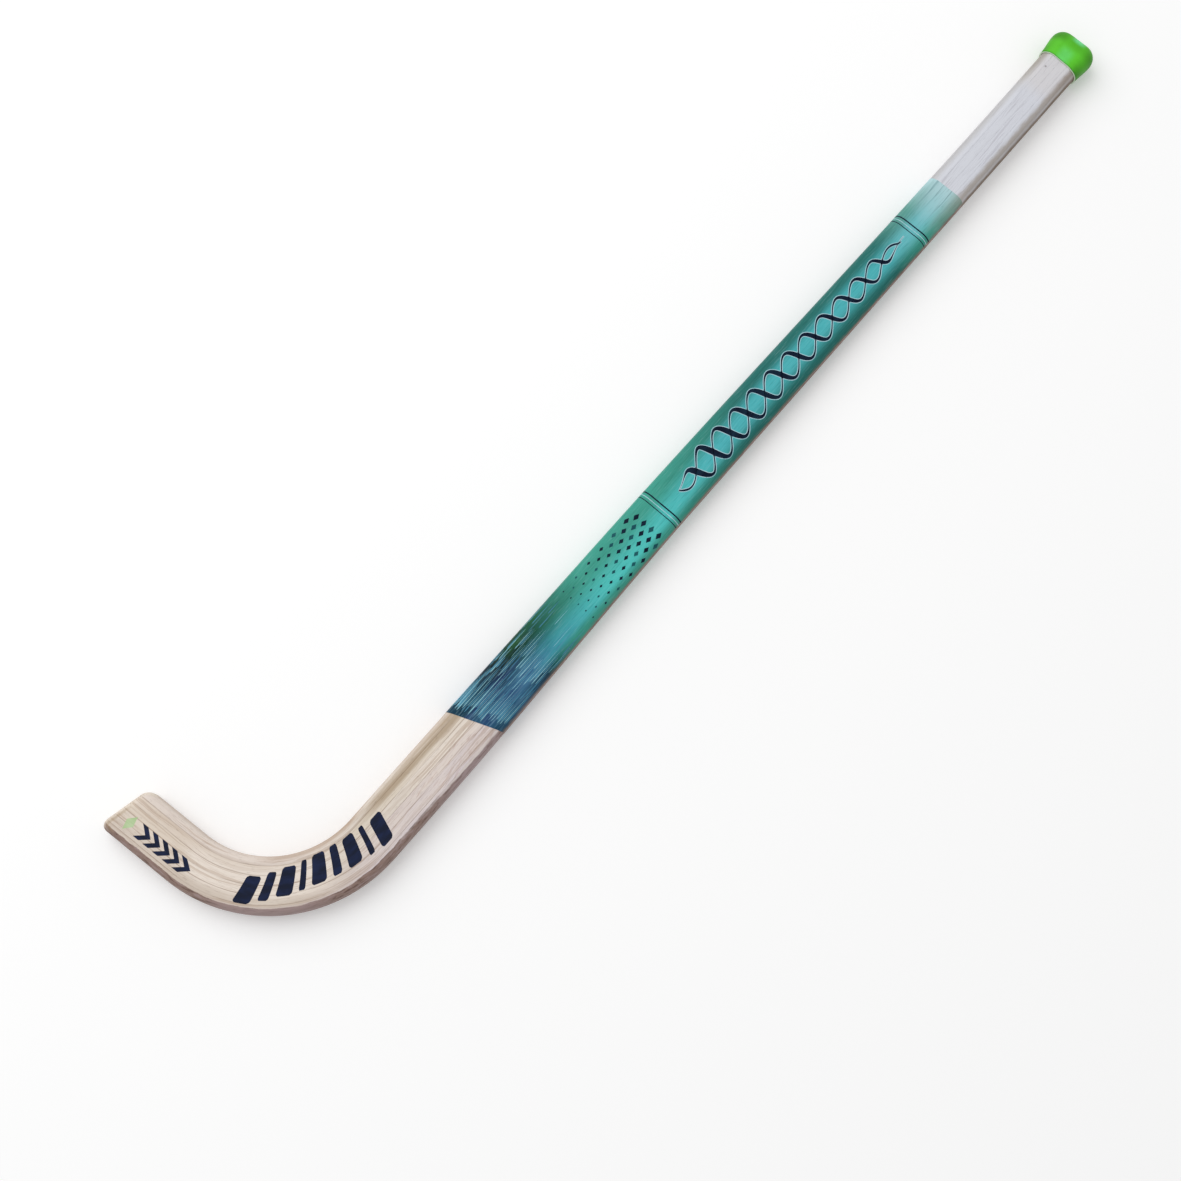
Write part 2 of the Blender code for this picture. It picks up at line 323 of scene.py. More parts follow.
class Shade:
    """One node material, with the stick's own coordinates at hand."""

    def __init__(self, name):
        self.material = bpy.data.materials.new(name)
        self.material.use_nodes = True
        self.tree = self.material.node_tree
        self.surface = self.tree.nodes["Principled BSDF"]
        self.s, self.v, self.z = self.attribute("stick_place")
        self.outer, self.inner, self.toe = self.attribute("edge_share")

    def attribute(self, name):
        source = self.tree.nodes.new("ShaderNodeAttribute")
        source.attribute_name = name
        split = self.tree.nodes.new("ShaderNodeSeparateXYZ")
        self.tree.links.new(source.outputs["Vector"], split.inputs[0])
        return [Value(self.tree, socket) for socket in split.outputs]

    def noise(self, along, across, through=None, seed=0.0, detail=2.0, roughness=0.5, v=None):
        """Noise whose grains are so many mm long, wide and deep. Its middle is 0.5."""
        through = through or across
        join = self.tree.nodes.new("ShaderNodeCombineXYZ")
        feed(self.tree, join.inputs[0], self.s / along + seed)
        feed(self.tree, join.inputs[1], (v or self.v) / across - seed)
        feed(self.tree, join.inputs[2], self.z / through + seed)
        node = self.tree.nodes.new("ShaderNodeTexNoise")
        self.tree.links.new(join.outputs[0], node.inputs["Vector"])
        node.inputs["Scale"].default_value = 1.0
        node.inputs["Detail"].default_value = detail
        node.inputs["Roughness"].default_value = roughness
        return Value(self.tree, node.outputs[0])

    def patch(self, along, across=(), s=None):
        """1 in a patch of the stick, from its soft borders along and across, as pairs for rise."""
        share = 1.0
        for value, borders in ((s or self.s, along), (self.v, across)):
            for border in borders:
                share = value.rise(*border) * share
        return share

    def mix(self, factor, first, second):
        node = self.tree.nodes.new("ShaderNodeMix")
        node.data_type = "RGBA"
        feed(self.tree, node.inputs[0], factor)
        feed(self.tree, node.inputs[6], first)
        feed(self.tree, node.inputs[7], second)
        return Value(self.tree, node.outputs[2])

    def coats(self, tint, *layers):
        """Lays sRGB colours over a tint one after another, each as far as its mask says."""
        for mask, tone in layers:
            tint = self.mix(mask, tint, colour(*tone))
        return tint

    def ramp(self, value, stops):
        """A colour that goes through (position, sRGB colour) stops as value rises."""
        low, high = stops[0][0], stops[-1][0]
        node = self.tree.nodes.new("ShaderNodeValToRGB")
        bar = node.color_ramp
        while len(bar.elements) < len(stops):
            bar.elements.new(0.5)
        for element, (position, tone) in zip(bar.elements, stops):
            element.position = (position - low) / (high - low)
            element.color = colour(*tone)
        feed(self.tree, node.inputs[0], (value - low) / (high - low))
        return Value(self.tree, node.outputs[0])

    def finish(self, tint, roughness, height, depth, specular):
        """Links colour, roughness and bump; depth is the bump's height in metres."""
        feed(self.tree, self.surface.inputs["Base Color"], tint)
        feed(self.tree, self.surface.inputs["Roughness"], roughness)
        self.surface.inputs["Specular IOR Level"].default_value = specular
        bump = self.tree.nodes.new("ShaderNodeBump")
        bump.inputs["Distance"].default_value = depth
        feed(self.tree, bump.inputs["Height"], height)
        self.tree.links.new(bump.outputs[0], self.surface.inputs["Normal"])
        return self.material


# Wood

# The tone of each ply at the blade and at the neck, from the outer ply to the inner one
PLY_TONES = (
    ((211, 196, 182), (222, 211, 211)),
    ((215, 201, 187), (222, 210, 208)),
    ((227, 213, 198), (222, 209, 204)),
    ((228, 214, 198), (228, 217, 205)),
    ((225, 210, 195), (228, 216, 199)),
    ((229, 216, 206), (226, 215, 203)),
)
WOOD_PALE = (241, 229, 217)
GRAIN_AND_SHADE_BROWN = (166, 134, 106)
FLAME_RED = (184, 150, 138)
PORE_BROWN = (118, 90, 68)
GLUE_BROWN = (150, 118, 92)
NECK_BROWN = (184, 164, 140)
GLEAM_LILAC = (228, 219, 226)
EDGE_BROWN = (150, 126, 117)
EDGE_DARK = (96, 72, 62)
EDGE_LILAC = (182, 162, 164)
EDGE_SHADE_GREY = (174, 164, 154)
EDGE_SHADE_UMBER = (146, 129, 114)
EDGE_OLIVE = (122, 108, 92)
TOE_PALE = (230, 218, 202)
TOE_SHADE_OLIVE = (158, 134, 98)
KNOT_PLACE = (826.4, 6.2)
KNOT_RADIUS = 1.2
KNOT_GREY = (112, 104, 108)
HANDLE_WHITE = (219, 222, 231)
HANDLE_NEAR_CAP = (220, 219, 223)
HANDLE_SHADE = (158, 152, 142)
HANDLE_LINE = (168, 166, 176)
GLUE_STRONG = 0.55
GLUE_FAINT = 0.32
GRAIN_BEND = 4.5
FLAME_LEAN = 0.14
EDGE_RAGGED = 0.42
WOOD_BUMP = 0.00012
WOOD_SPECULAR = 0.28

# Spans along the wood, and patches as (along, across), in mm. Each border is a pair for rise.
BLADE_TO_NECK = (-75, 10)
PAINT_BORDER = (688, 689)
GREYER_HANDLE = (795, 812)
BY_THE_CAP = (796, 832)
PALE_BLADE = (((-165, -140), (-20, -50)), ((-13, -6), (16, 9)))
PALE_NECK = (((30, 60),), ((-4, 2), (12, 8)))
FLAMED_NECK = (((5, 45),), ((7, -1),))
BROWN_STRIP = (((-5, 30),), ((9.5, 12.5), (20.5, 17.0)))
GLEAM_SPAN = ((-150, -90), (128, 90))
LILAC_BEND = ((-135, -105), (-35, -70))
LILAC_NECK = ((30, 85), (135, 112))
INSIDE_BEND = ((-105, -70), (20, -5))


def wavy_lines(shade, gap, seed, length=190):
    """Thin lines along the stick that wander, taper out and differ in spacing; 1 on a line."""
    drift = (shade.noise(110, 60, seed=seed, detail=2) - 0.5) * 7.0
    waver = (shade.noise(16, 20, seed=seed + 3.0, detail=2) - 0.5) * 1.6
    grain = shade.noise(length, gap, 30, seed=seed + 7.0, detail=1, v=shade.v + drift + waver)
    return grain.rise(0.60, 0.66)


def grained_wood(shade, index):
    """A ply's own wood as (tint, fibre, pores), with its figure, lines and flames."""
    blade_tone, neck_tone = PLY_TONES[index]
    seed = 17.3 * (index + 1)
    bent = shade.v + (shade.noise(24, 12, seed=seed + 5.0, detail=3) - 0.5) * GRAIN_BEND
    fibre = shade.noise(24, 0.75, seed=seed, detail=4, roughness=0.6, v=bent)
    figure = shade.noise(120, 2.6, seed=seed + 3.1, detail=3, v=bent)
    flame = shade.noise(11, 1.5, seed=seed + 50.0, detail=3, v=bent - shade.s * FLAME_LEAN)
    cloud = shade.noise(34, 7, seed=3.0, detail=3).rise(0.40, 0.62)
    ragged = shade.noise(60, 2.0, seed=30.0, detail=3).rise(0.25, 0.55)
    pores = shade.noise(5.5, 0.28, seed=seed + 9.0, detail=1).rise(0.66, 0.76)
    pale = shade.patch(*PALE_BLADE) * 0.95 + shade.patch(*PALE_NECK) * 0.40 + cloud * 0.25
    tint = shade.coats(
        shade.mix(shade.s.rise(*BLADE_TO_NECK), colour(*blade_tone), colour(*neck_tone)),
        (pale, WOOD_PALE),
        (figure.rise(0.52, 0.72) * 0.40, WOOD_PALE),
        (figure.rise(0.48, 0.30) * 0.24, GRAIN_AND_SHADE_BROWN),
        (fibre.rise(0.50, 0.74) * 0.34, GRAIN_AND_SHADE_BROWN),
        (wavy_lines(shade, 2.3, seed, length=110) * 0.34, GRAIN_AND_SHADE_BROWN),
        (flame.rise(0.54, 0.70) * shade.patch(*FLAMED_NECK) * 0.42, FLAME_RED),
        (shade.patch(*BROWN_STRIP) * (ragged * 0.5 + 0.45), NECK_BROWN),
        (pores * 0.40, PORE_BROWN),
    )
    return tint, fibre, pores


def glue_distance(shade, index):
    """How many mm a point of a ply lies from the nearer of its two sides."""
    low = (-HALF_WIDTH + index * PLY_THICKNESS) * MM
    high = low + PLY_THICKNESS * MM
    return (shade.v - low).least(high - shade.v)


def glued(shade, tint, index, near_glue):
    """Adds the glue lines, which are fainter on the two plies at the stick's edges."""
    strength = GLUE_FAINT if index in (0, PLY_COUNT - 1) else GLUE_STRONG
    patchy = shade.noise(45, 6, seed=4.0).rise(0.30, 0.60)
    return shade.coats(tint, (near_glue.rise(0.55, 0.05) * patchy * strength, GLUE_BROWN))


def handle_paint(shade, fibre):
    """The handle's whitened wood, greyer by the cap, with its own thin lines, one knot, and painted
    shade on its inner edge that grows by the cap.
    """
    near_cap = shade.s.rise(*BY_THE_CAP)
    off_s, off_v = shade.s - KNOT_PLACE[0], shade.v - KNOT_PLACE[1]
    knot = (off_s * off_s + off_v * off_v).rise(KNOT_RADIUS ** 2, 0.2) * shade.z.rise(0.0, 1.0)
    return shade.coats(
        shade.mix(shade.s.rise(*GREYER_HANDLE), colour(*HANDLE_WHITE), colour(*HANDLE_NEAR_CAP)),
        (wavy_lines(shade, 2.0, 2.0, length=60) * 0.34, HANDLE_LINE),
        (fibre.rise(0.50, 0.74) * 0.30, HANDLE_LINE),
        # Painted shade along the inner rounded edge, stronger by the cap
        (shade.inner.rise(0.10, 0.75) * (near_cap * 0.45 + 0.42), HANDLE_SHADE),
        (knot * 0.6, KNOT_GREY),
    )


def outer_side(shade, rough, painted):
    """1 on the outer edge's brown band, which is partly bare wood and partly painted shade; ragged on
    the blade and narrow on the handle.
    """
    ragged = (rough - 0.5) * EDGE_RAGGED
    narrowing = shade.s.rise(45, 100) * 0.17
    blade = (shade.outer + ragged * (1.0 - shade.s.rise(-20, 120))).rise(0.16, 0.24)
    neck = (shade.outer + ragged * 0.5 - narrowing).rise(0.36, 0.50)
    handle = (shade.outer + ragged * 0.3).rise(0.80, 0.97)
    side = blade + (neck - blade) * shade.s.rise(-20, 90)
    return side + (handle - side) * painted


def bare_edge_and_shade(shade, fibre, painted):
    """The outer edge's brown with dark specks and lilac patches, olive on the handle: the bare wood's
    tone and, in part, painted shade.
    """
    mottle = shade.noise(10, 2.0, seed=12.0, detail=3, roughness=0.6)
    lilac = shade.patch(LILAC_BEND) * 0.5
    lilac = lilac + shade.patch(LILAC_NECK) * (mottle.rise(0.60, 0.48) * 0.4 + 0.35)
    return shade.coats(
        colour(*EDGE_BROWN),
        (mottle.rise(0.52, 0.64) * 0.70, EDGE_DARK),
        (lilac.most(mottle.rise(0.47, 0.36) * 0.45), EDGE_LILAC),
        (fibre.rise(0.45, 0.70) * 0.20, EDGE_DARK),
        (painted * 0.8, EDGE_OLIVE),
    )


def edges_with_painted_light(shade, tint, fibre, painted, rough, side):
    """Adds painted shade to the edges (grey on the handle's outer edge, the outer brown band in part, a
    darker inner edge) and a painted highlight.
    """
    ragged = (rough - 0.5) * EDGE_RAGGED
    # Painted shade: the handle's rounded outer edge turns grey, and browner by the cap
    edge_shade = (shade.outer + ragged).rise(0.10, 0.55) * shade.outer.rise(1.15, 0.6)
    grey = shade.mix(shade.s.rise(*BY_THE_CAP) * 0.8, colour(*EDGE_SHADE_GREY), colour(*EDGE_SHADE_UMBER))
    # Painted highlight: a thin pale lilac line just inside the brown band round the bend
    gleam = shade.outer.rise(0.0, 0.08) * shade.outer.rise(0.26, 0.12) * shade.patch(GLEAM_SPAN)
    tint = shade.mix(edge_shade * painted * 0.8, tint, grey)
    tint = shade.coats(tint, (gleam * 0.25, GLEAM_LILAC))
    # The brown band is partly the bare edge's own wood and partly painted shade on the rounded outer
    # edge
    tint = shade.mix(side, tint, bare_edge_and_shade(shade, fibre, painted))
    border = side * (1.0 - side) * rough.rise(0.35, 0.60) * (1.0 - painted)
    # Painted shade on the inner rounded edge, stronger in the bend and on the neck, in the grain's brown
    bend_inner_shade = shade.inner.rise(0.20, 0.60) * shade.inner.rise(1.2, 0.7) * shade.patch(INSIDE_BEND)
    neck_inner_shade = shade.inner.rise(0.1, 0.6) * shade.s.rise(40, 70)
    inside = shade.inner.rise(0.70, 1.0) * 0.25 + neck_inner_shade * 0.2 + bend_inner_shade * 0.5
    return shade.coats(
        tint,
        (border * (2.2 - shade.s.rise(20, 80)), EDGE_DARK),
        (inside * shade.s.rise(690, 680), GRAIN_AND_SHADE_BROWN),
    )


def end_grain(shade, tint):
    """Adds the end grain at the toe and, inside the cap, at the butt, and painted shade in an olive band
    along the toe's rounded end.
    """
    dots = shade.noise(2.0, 0.9, 5.0, seed=21.0, detail=2).rise(0.56, 0.66)
    end = shade.mix(dots * 0.5, colour(*TOE_PALE), colour(*PORE_BROWN))
    butt = shade.s.rise(SHAFT_LENGTH * MM - 0.5, SHAFT_LENGTH * MM - 0.1)
    toe = shade.toe.rise(0.45, 0.8) * shade.outer.rise(0.95, 0.35)
    # Painted shade: an olive band inside the toe's rounded end, on the top face
    toe_end_shade = shade.toe.rise(0.05, 0.3) * shade.toe.rise(0.7, 0.4) * shade.v.rise(7, -3)
    toe_end_shade = toe_end_shade * shade.outer.rise(0.8, 0.3) * shade.z.rise(0, 6)
    tint = shade.mix(toe * 0.75 + butt * 0.9, tint, end)
    return shade.coats(tint, (toe_end_shade * 0.45, TOE_SHADE_OLIVE))


def wood_material(index):
    shade = Shade(ply_name(index))
    painted = shade.s.rise(*PAINT_BORDER)
    near_glue = glue_distance(shade, index)
    tint, fibre, pores = grained_wood(shade, index)
    tint = glued(shade, tint, index, near_glue)
    tint = shade.mix(painted * 0.94, tint, handle_paint(shade, fibre))
    rough = shade.noise(9, 4, seed=6.0, detail=4, roughness=0.6)
    side = outer_side(shade, rough, painted)
    tint = edges_with_painted_light(shade, tint, fibre, painted, rough, side)
    tint = end_grain(shade, tint)
    roughness = 0.46 + (fibre - 0.5) * 0.22 + side * 0.16
    height = fibre * 0.6 - pores * 0.5 - near_glue.rise(0.30, 0.0) * 0.7
    return shade.finish(tint, roughness, height, WOOD_BUMP, WOOD_SPECULAR)


def ply_name(index):
    if index == 0:
        return "outer_ply"
    if index == PLY_COUNT - 1:
        return "inner_ply"
    return f"core_ply_{index}"


def ply_samples(index, s):
    """Values of v across a ply, closer together towards its sides."""
    low = -HALF_WIDTH + index * PLY_THICKNESS
    high = low + PLY_THICKNESS
    low = low + GLUE_LINE / 2 if index > 0 else low
    high = high - GLUE_LINE / 2 if index < PLY_COUNT - 1 else high
    low, high = max(low, outer_edge(s)), min(high, inner_edge(s))
    middle, reach = (low + high) / 2, (high - low) / 2
    return [
        middle + reach * math.sin(math.pi / 2 * step / PLY_SAMPLES)
        for step in range(-PLY_SAMPLES, PLY_SAMPLES + 1)
    ]


def wood_spots(s, v, from_end):
    """The wood's front and back vertices at a plan position, with its edge shares."""
    radius = edge_radius(s)
    outer = min(max(1.0 - (v - outer_edge(s)) / radius, 0.0), 1.0)
    inner = min(max(1.0 - (inner_edge(s) - v) / radius, 0.0), 1.0)
    end = min(max(1.0 - from_end / radius, 0.0), 1.0)
    fall = max(outer, inner, end)
    height = HALF_THICKNESS - radius + radius * math.sqrt(1.0 - fall * fall)
    sides = (outer, inner, end)
    return spot(s, v, height, sides), spot(s, v, -height, sides)


def ply_ring(index, s_of_v, from_toe=None):
    pairs = []
    for v in ply_samples(index, s_of_v(0.0)):
        from_end = math.inf if from_toe is None else toe_inset(v, from_toe)
        pairs.append(wood_spots(s_of_v(v), v, from_end))
    return [front for front, _ in pairs] + [back for _, back in reversed(pairs)]


def ply_rings(index):
    """Rings from the toe, round the bend and up the shaft."""
    rings = []
    reach = BLADE_EDGE_RADIUS / math.cos(TOE_SKEW)
    for step in range(TOE_STEPS + 1):
        back = reach * (1.0 - math.cos(math.pi / 2 * step / TOE_STEPS))
        rings.append(
            ply_ring(index, lambda v: -BEND_LENGTH - toe_distance(v) + back, back)
        )
    for step in range(1, BLADE_STEPS + 1):
        share = 1.0 - step / BLADE_STEPS

        def blended(v):
            return -BEND_LENGTH - (toe_distance(v) - BLADE_EDGE_RADIUS) * share

        rings.append(ply_ring(index, blended))
    for step in range(BEND_STEPS - 1, 0, -1):
        rings.append(ply_ring(index, lambda v: -BEND_LENGTH * step / BEND_STEPS))
    for step in range(SHAFT_STEPS + 1):
        rings.append(ply_ring(index, lambda v: SHAFT_LENGTH * step / SHAFT_STEPS))
    return rings


def build_wood():
    for index in range(PLY_COUNT):
        name = ply_name(index)
        piece(
            f"{name}_wood", [ply_rings(index)], wood_material(index), "stick",
            stands_for=name,
        )


# Printed film

# The print's colours, and where each rules along the shaft, in mm, in three lanes of the film: a bright
# middle lane that is partly painted highlight, and side lanes that are partly painted shade
NIGHT = (6, 26, 36)
FOREST = (18, 58, 42)
PINE = (42, 108, 92)
SEA = (68, 162, 144)
DEEP_SEA = (42, 112, 106)
STEEL = (72, 124, 158)
LAGOON = (66, 154, 168)
TURQUOISE = (84, 200, 194)
POOL = (82, 184, 190)
AQUA = (118, 196, 202)
MIST = (184, 218, 223)
ABYSS = (22, 60, 80)
DUSK = (48, 92, 124)
PALE_SEA = (96, 160, 150)
SAGE = (148, 170, 160)
FILM_INNER_PRINT_AND_SHADE = ((100, ABYSS), (138, ABYSS), (154, NIGHT), (180, FOREST), (212, PINE), (255, SEA),
              (340, SEA), (450, DEEP_SEA), (610, DEEP_SEA), (655, PALE_SEA), (690, MIST))
FILM_PRINT_AND_HIGHLIGHT = ((100, DUSK), (138, DUSK), (168, STEEL), (200, LAGOON), (262, TURQUOISE),
             (310, TURQUOISE), (400, POOL), (605, POOL), (650, AQUA), (690, MIST))
FILM_OUTER_PRINT_AND_SHADE = ((100, ABYSS), (150, DUSK), (178, ABYSS), (216, SEA), (320, SEA), (430, DEEP_SEA),
              (610, DEEP_SEA), (645, SEA), (690, SAGE))
STREAK_PALE = (128, 178, 204)
BLOT_NAVY = (40, 64, 110)
MOSS = (40, 96, 38)
SEAM_BROWN = (128, 112, 96)
WORN_TEAL = (120, 160, 166)
FILM_BUMP = 0.00003
FILM_SPECULAR = 0.06

# Spans and patches of the film, with borders as for the wood
MOSS_PATCH = (((160, 190), (240, 205)), ((4, 14),))
NAVY_PATCH = (((210, 150),), ((-15, -6), (13, 6)))
STREAK_PATCH = (((200, 125),), ((20, 10),))
WORN_SPAN = (640, 682)

# The bright lane's middle across the film, where the painted highlight runs, and how far the outer,
# partly shaded lanes lie from the stick's middle
LANE_LOW = -8.0
LANE_CLIMB = 11.0
LANE_CLIMB_SPAN = (270, 470)
LANE_RETURN = 3.0
LANE_RETURN_SPAN = (560, 610)
INNER_LANE = 17.0
OUTER_LANE = 17.5
LANE_DRIFT = 26.0


def film_colours(shade):
    """The film's three lanes of colour, blended across, with drifting changes along them: print, with a
    painted highlight in the middle lane and painted shade towards both edges.
    """
    s = shade.s + (shade.noise(60, 9, seed=5.0, detail=3) - 0.5) * LANE_DRIFT
    middle = shade.s.rise(*LANE_CLIMB_SPAN) * LANE_CLIMB
    middle = middle - shade.s.rise(*LANE_RETURN_SPAN) * LANE_RETURN + LANE_LOW
    aside = shade.v - middle
    to_inner = aside / (INNER_LANE - middle)
    to_outer = aside * -1.0 / (OUTER_LANE + middle)
    tint = shade.mix(to_inner.rise(0.0, 0.78), shade.ramp(s, FILM_PRINT_AND_HIGHLIGHT), shade.ramp(s, FILM_INNER_PRINT_AND_SHADE))
    return shade.mix(to_outer.rise(0.15, 0.85), tint, shade.ramp(s, FILM_OUTER_PRINT_AND_SHADE))


def film_material():
    """Blots and pale streaks at the lower end, worn lines at the upper one, a worn seam."""
    shade = Shade("print_film")
    blot = shade.noise(26, 7, seed=9.0, detail=3, roughness=0.6)
    streak = shade.noise(34, 1.3, seed=14.0, detail=2, roughness=0.45)
    sweep = shade.noise(13, 1.0, seed=3.0, detail=4, roughness=0.6)
    chips = shade.noise(7, 2.5, 1.2, seed=16.0, detail=3)
    seam = (shade.outer + (chips - 0.5) * 0.4).rise(0.74, 1.0)
    tint = shade.coats(
        film_colours(shade),
        (shade.patch(*MOSS_PATCH) * blot.rise(0.48, 0.64) * 0.55, MOSS),
        (shade.patch(*NAVY_PATCH) * blot.rise(0.60, 0.40) * 0.7, BLOT_NAVY),
        (shade.patch(*STREAK_PATCH) * streak.rise(0.54, 0.66) * 0.25, STREAK_PALE),
        (wavy_lines(shade, 2.0, 2.0) * shade.s.rise(*WORN_SPAN) * 0.55, WORN_TEAL),
        (sweep.rise(0.52, 0.75) * 0.14, MIST),
        (sweep.rise(0.50, 0.28) * 0.22, NIGHT),
        (seam * 0.6, SEAM_BROWN),
    )
    return shade.finish(tint, 0.34 + (sweep - 0.5) * 0.16, sweep, FILM_BUMP, FILM_SPECULAR)


def seam_angle(s, offset):
    """How far round the outer edge the film leaves the seam open, from the edge's middle."""
    radius = edge_radius(s)
    open_half = max(FILM_SEAM_WIDTH / 2 - (HALF_THICKNESS - radius), 0.0)
    return math.asin(open_half / (radius + offset))


def film_profile(s, offset):
    """The film's path in the plane across the shaft, as (v, z), from seam to seam."""
    radius = edge_radius(s)
    side = HALF_THICKNESS - radius
    low, high = outer_edge(s) + radius, inner_edge(s) - radius
    quarter, seam = math.pi / 2, seam_angle(s, offset)
    arcs = (
        (low, -side, 2 * quarter + seam, 3 * quarter),
        (high, -side, -quarter, 0.0),
        (high, side, 0.0, quarter),
        (low, side, quarter, 2 * quarter - seam),
    )
    points = []
    for centre_v, centre_z, start, stop in arcs:
        for step in range(CORNER_STEPS + 1):
            angle = start + (stop - start) * step / CORNER_STEPS
            v = centre_v + (radius + offset) * math.cos(angle)
            points.append((v, centre_z + (radius + offset) * math.sin(angle)))
    return points


def film_side(middle, slope, offset):
    """The film's path at one offset from the wood, with each point's s slanted by its v."""
    side = []
    for index, (v, _) in enumerate(film_profile(middle, offset)):
        s = middle - slope * v
        fitted_v, z = film_profile(s, offset)[index]
        outer = min(max(1.0 - (fitted_v - outer_edge(s)) / edge_radius(s), 0.0), 1.0)
        side.append(spot(s, fitted_v, z, (outer, 0.0, 0.0)))
    return side


def film_ring(fraction):
    middle = FILM_START + (FILM_END - FILM_START) * fraction
    slope = FILM_START_SLANT / (2 * HALF_WIDTH) * (1.0 - fraction)
    outside = film_side(middle, slope, FILM_OUTSIDE)
    inside = film_side(middle, slope, FILM_INSIDE)
    return outside + inside[::-1]


def build_film():
    rings = [film_ring(step / FILM_STEPS) for step in range(FILM_STEPS + 1)]
    piece("print_film_skin", [rings], film_material(), "stick", stands_for="print_film")


# Print and ink: thin closed strips laid on the surface

# Lines on the film's lower end. START, SHARE, LENGTH and GAP pairs are limits of random draws.
STREAK_SEED = 11
STREAK_LANES = 21
STREAK_SIDES = (-0.0200, 0.0245)
STREAK_RISE = 0.104
STREAK_START = (0.0018, 0.0120)
STREAK_TOP_SHARE = (0.55, 1.0)
STREAK_LENGTH = (0.014, 0.046)
STREAK_WIDTH_SHARE = (0.35, 1.0)
STREAK_GAP = (0.006, 0.020)
STREAK_HALVES = (0.00072, 0.00042)
STREAK_STEP = 0.002

# The field of rhombs
LATTICE_START = 0.2360
LATTICE_ROWS = 12
LATTICE_GAP_S = 0.0074
LATTICE_GAP_T = 0.0076
LATTICE_REACH = 0.0165
LATTICE_LEAST = 0.0009
LATTICE_MOST = 0.0034
LATTICE_SHAPE = 0.6

# The two ribbons
WAVE_START = 0.355
WAVE_STOP = 0.632
WAVE_STEP = 0.0012
WAVE_LENGTH = 0.0418
WAVE_HEIGHT = 0.0125
WAVE_TAPER = 0.50
WAVE_SWAY = 0.0035
WAVE_PRESS = 1.5
WAVE_THIN = 0.00042
WAVE_THICK = 0.0026
WAVE_OUTLINE = 0.0006

# Groups of rings, each line as its offset from the group's place and its width
RING_PLACES = (0.3380, 0.6460)
RING_LINES = ((0.0, 0.0011), (-0.0058, 0.0007))
RING_PALE_LINE = (-0.0030, 0.0006)

# Large bars and small marks on the blade
BARS_START = -0.106
BARS_LENGTH = 0.134
BARS_SIDE = -0.0054
BARS_BOW = 0.0104
BAR_HALVES = (0.0058, 0.0036, 0.0058, 0.0024, 0.0058, 0.0036, 0.0058, 0.0024, 0.0058)
BAR_GAP = 0.0050
BAR_REACH = 0.0106
BAR_LEAN = 0.35
BAR_STEPS = 18
BAR_SOFT_END = 0.14
BAR_SOFTENING = 0.30
MARKS_START = -0.1975
MARKS_GAP = 0.0095
MARKS_V = -0.0058
CHEVRON_COUNT = 5
CHEVRON_REACH = 0.0060
CHEVRON_SLOPE = 0.6
CHEVRON_HALF = 0.0027
ACCENT_BACK = 0.0045
ACCENT_HALVES = (0.0070, 0.0040)
ACCENT_LEAN = math.radians(75)

# Inks as (name, tone, worn tone, wear, specular level)
NAVY_INK = ("print_navy", (10, 20, 40), (24, 50, 70), 0.4, 0.05)
HAZE_INK = ("print_haze", (26, 78, 88), (40, 112, 116), 0.8, 0.05)
PALE_INK = ("print_pale", (150, 206, 218), (104, 166, 190), 0.7, 0.06)
SOFT_INK = ("print_soft", (86, 148, 176), (54, 110, 144), 0.7, 0.06)
OUTLINE_INK = ("print_outline", (182, 216, 226), (124, 196, 204), 0.6, 0.06)
BLADE_INK = ("blade_ink", (14, 22, 44), (28, 42, 82), 0.5, 0.10)
ACCENT_INK = ("accent_ink", (196, 216, 172), (166, 198, 134), 0.6, 0.12)
INK_BUMP = 0.00003


def around(s, t, lift):
    """(v, z) at t round the section from the front face's middle, positive over the inner edge."""
    radius = edge_radius(s)
    way = 1.0 if t >= 0.0 else -1.0
    edge = inner_edge(s) if t >= 0.0 else -outer_edge(s)
    corner, quarter = edge - radius, radius * math.pi / 2
    side = 2 * (HALF_THICKNESS - radius)
    run = abs(t)
    if run <= corner:
        return way * run, HALF_THICKNESS + lift
    if run > corner + 2 * quarter + side:
        back = corner - (run - corner - 2 * quarter - side)
        return way * back, -(HALF_THICKNESS + lift)
    if corner + quarter < run <= corner + quarter + side:
        return way * (edge + lift), side / 2 - (run - corner - quarter)
    below = run > corner + quarter
    angle = (run - corner - (side if below else 0.0)) / radius
    v = corner + (radius + lift) * math.sin(angle)
    centre_z = (HALF_THICKNESS - radius) * (-1.0 if below else 1.0)
    return way * v, centre_z + (radius + lift) * math.cos(angle)


def strip(pairs, base, layer, face=1.0):
    """A loft for a printed strip, from (left, right) pairs of (s, t) along it."""
    widest = max(math.dist(left, right) for left, right in pairs)
    across = max(1, math.ceil(widest / PRINT_STEP))
    rings = []
    for left, right in pairs:
        rows = ([], [])
        for step in range(across + 1):
            share = step / across
            s = left[0] + (right[0] - left[0]) * share
            t = left[1] + (right[1] - left[1]) * share
            for row, lift in zip(rows, (base + layer * PRINT_LAYER, base - PRINT_SUNK)):
                v, z = around(s, t, lift)
                row.append(spot(s, v, z * face))
        rings.append(rows[0] + rows[1][::-1])
    return rings


def stroke(path, base, layer, face=1.0):
    """A strip along a path of (s, t, half width), with its sides square to the path."""
    pairs = []
    for i, (s, t, half) in enumerate(path):
        ahead, behind = path[min(i + 1, len(path) - 1)], path[max(i - 1, 0)]
        ds, dt = ahead[0] - behind[0], ahead[1] - behind[1]
        length = math.hypot(ds, dt)
        nudge_s, nudge_t = -dt / length * half, ds / length * half
        pairs.append(((s + nudge_s, t + nudge_t), (s - nudge_s, t - nudge_t)))
    return strip(pairs, base, layer, face)


